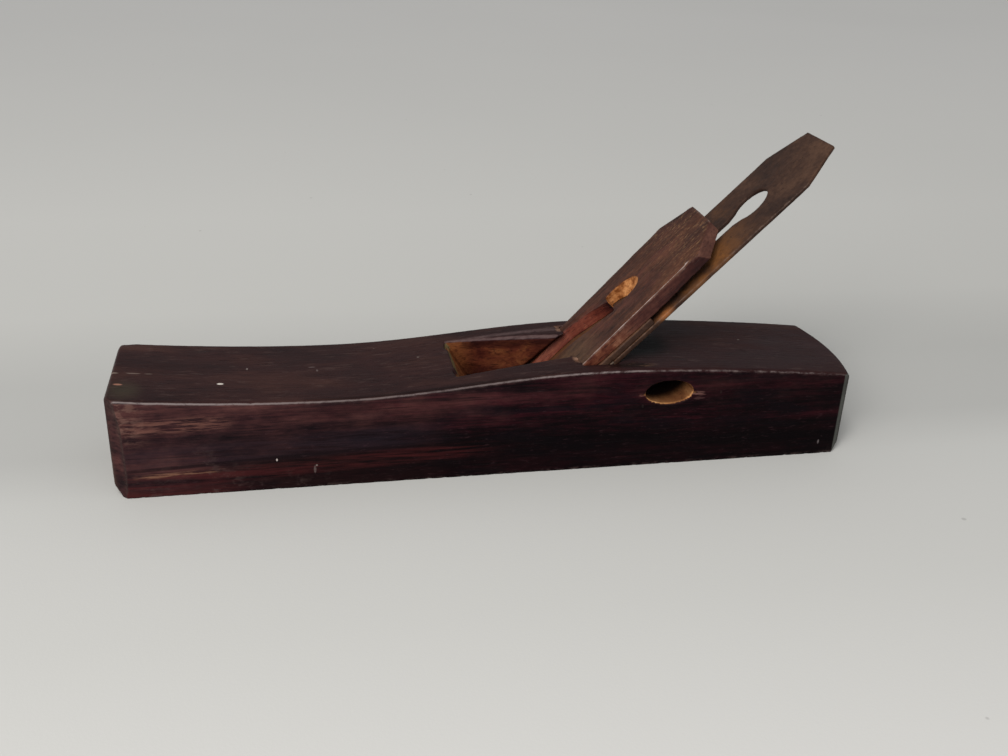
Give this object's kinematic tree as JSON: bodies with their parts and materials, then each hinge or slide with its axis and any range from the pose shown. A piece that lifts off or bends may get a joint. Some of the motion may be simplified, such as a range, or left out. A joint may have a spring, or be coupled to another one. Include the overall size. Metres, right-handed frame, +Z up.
{
  "type": "wooden hand plane",
  "caption": "Long wooden bench plane with a saddle-shaped stock, a bedded double iron and a forked wedge that slide out, and an empty oval hole for a cross handle.",
  "frame": {"origin": "middle of the sole, at the bottom centre of the whole plane", "axes": "+X along the stock towards the heel, +Y across it to the side away from the camera, +Z up from the sole"},
  "size_m": [0.29, 0.0532, 0.1245],
  "materials": {
    "stock_wood": "dark oiled rosewood, worn",
    "wrought_iron": "brown rust patina",
    "hard_steel": "ground, lightly rusted",
    "cap_metal": "brown rust patina",
    "screw_metal": "dull, worn",
    "wedge_wood": "red-brown rosewood, worn"
  },
  "bodies": {
    "body": {"stock": "stock_wood"},
    "iron": {"plane_iron": "wrought_iron", "steel_face": "hard_steel"},
    "cap": {"cap_iron": "cap_metal"},
    "screw": {"cap_screw": "screw_metal"},
    "wedge": {"wedge": "wedge_wood"}
  },
  "joints": [
    {"name": "iron_slide", "type": "slide", "parent": "body", "child": "iron", "axis": [0.7034, 0, 0.7108], "range_m": [-0.0005, 0.06]},
    {"name": "wedge_slide", "type": "slide", "parent": "iron", "child": "wedge", "axis": [0.7034, 0, 0.7108], "range_m": [0, 0.06]},
    {"name": "cap_slide", "type": "slide", "parent": "iron", "child": "cap", "axis": [0.7078, 0, 0.7064], "range_m": [-0.0007, 0.086]},
    {"name": "cap_screw_turn", "type": "hinge", "parent": "cap", "child": "screw", "pos_m": [0.03768, 0, 0.03721], "axis": [-0.7064, 0, 0.7078], "continuous": true}
  ]
}
